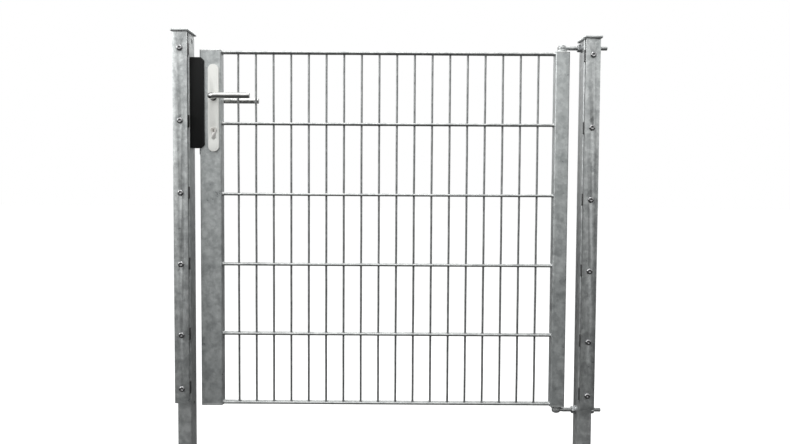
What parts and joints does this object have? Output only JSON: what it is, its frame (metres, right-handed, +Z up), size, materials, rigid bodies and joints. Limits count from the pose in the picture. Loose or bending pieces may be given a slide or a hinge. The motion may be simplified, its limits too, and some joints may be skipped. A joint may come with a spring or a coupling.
{
  "type": "garden gate",
  "caption": "Galvanised mesh garden gate: leaf between two tube posts on eyebolt hinges, with lever lock, profile cylinder, keep and cover bars for fence mats.",
  "frame": {"origin": "centre of the foot of the hinge post", "axes": "+X across the passage, away from the leaf; +Y through the gate, to the side the leaf opens to; +Z up"},
  "size_m": [1.219, 0.166, 1.519],
  "materials": {
    "galvanised_tube": "hot-dip galvanised, mottled",
    "galvanised_plate": "hot-dip galvanised",
    "galvanised_bar": "hot-dip galvanised, mottled",
    "galvanised_rod": "hot-dip galvanised thread",
    "galvanised_wire": "hot-dip galvanised wire",
    "zinc_plated": "zinc plated",
    "stainless_bolt": "stainless, bright",
    "stainless_plate": "stainless, ground",
    "spring_steel": "spring wire",
    "spacer_rubber": "black rubber",
    "keep_plastic": "black polyamide, fine grain",
    "bush_plastic": "nylon",
    "silver_anodised": "silver anodised, satin",
    "polished_lever": "bright, finely brushed",
    "nickel_brass": "matt nickel plated",
    "nickel_plug": "nickel plated plug"
  },
  "bodies": {
    "posts": {"hinge_post": "galvanised_tube", "strike_post": "galvanised_tube", "hinge_post_cap": "galvanised_plate", "strike_post_cap": "galvanised_plate", "hinge_side_cover_bar": "galvanised_bar", "strike_side_cover_bar": "galvanised_bar", "hinge_side_spacers": "spacer_rubber", "strike_side_spacers": "spacer_rubber", "cover_bar_bolts": "stainless_bolt", "bar_rivet_nuts": "zinc_plated", "upper_eyebolt": "galvanised_rod", "lower_eyebolt": "galvanised_rod", "hinge_nuts": "zinc_plated", "hinge_washers": "zinc_plated", "keep": "keep_plastic", "keep_screws": "stainless_bolt", "keep_rivet_nuts": "zinc_plated"},
    "handles": {"front_lever": "polished_lever", "rear_lever": "polished_lever", "lever_spindle": "zinc_plated", "follower": "zinc_plated", "lever_grub_screws": "stainless_bolt"},
    "latch": {"latch_bolt": "stainless_plate"},
    "bolt": {"dead_bolt": "stainless_plate"},
    "cylinder_core": {"front_plug": "nickel_plug", "rear_plug": "nickel_plug", "cylinder_cam": "zinc_plated"},
    "leaf": {"lock_stile": "galvanised_tube", "hinge_stile": "galvanised_tube", "lock_stile_plates": "galvanised_plate", "hinge_stile_plates": "galvanised_plate", "pivot_seats": "galvanised_plate", "pivot_pins": "galvanised_rod", "pin_rings": "zinc_plated", "upright_wires": "galvanised_wire", "front_rods": "galvanised_wire", "rear_rods": "galvanised_wire", "lock_case": "zinc_plated", "lock_case_cover": "zinc_plated", "forend_plate": "stainless_plate", "forend_screws": "stainless_bolt", "latch_spring": "spring_steel", "cylinder_body": "nickel_brass", "cylinder_screw": "stainless_bolt", "front_escutcheon": "silver_anodised", "rear_escutcheon": "silver_anodised", "escutcheon_screws": "stainless_bolt", "lever_bushes": "bush_plastic"}
  },
  "joints": [
    {"name": "leaf_swing", "type": "hinge", "parent": "posts", "child": "leaf", "pos_m": [-0.076, 0, 0.963], "axis": [0, 0, -1], "range_deg": [0, 135]},
    {"name": "lever_turn", "type": "hinge", "parent": "leaf", "child": "handles", "pos_m": [-1.056, 0, 1.335], "axis": [0, 1, 0], "range_deg": [0, 35], "stiffness_Nm_per_rad": 1.6, "springref_deg": -20.05},
    {"name": "latch_slide", "type": "slide", "parent": "leaf", "child": "latch", "axis": [1, 0, 0], "range_m": [0, 0.012], "stiffness_N_per_m": 200, "springref_m": -0.01, "deforming": ["latch_spring"]},
    {"name": "key_turn", "type": "hinge", "parent": "leaf", "child": "cylinder_core", "pos_m": [-1.056, 0, 1.243], "axis": [0, -1, 0], "range_deg": [0, 360]},
    {"name": "dead_bolt_slide", "type": "slide", "parent": "leaf", "child": "bolt", "axis": [-1, 0, 0], "range_m": [0, 0.018]}
  ],
  "couplings": [
    {"joint": "latch_slide", "follows": "lever_turn", "m_per_rad": 0.01964},
    {"joint": "key_turn", "follows": "dead_bolt_slide", "rad_per_m": 349.06}
  ]
}
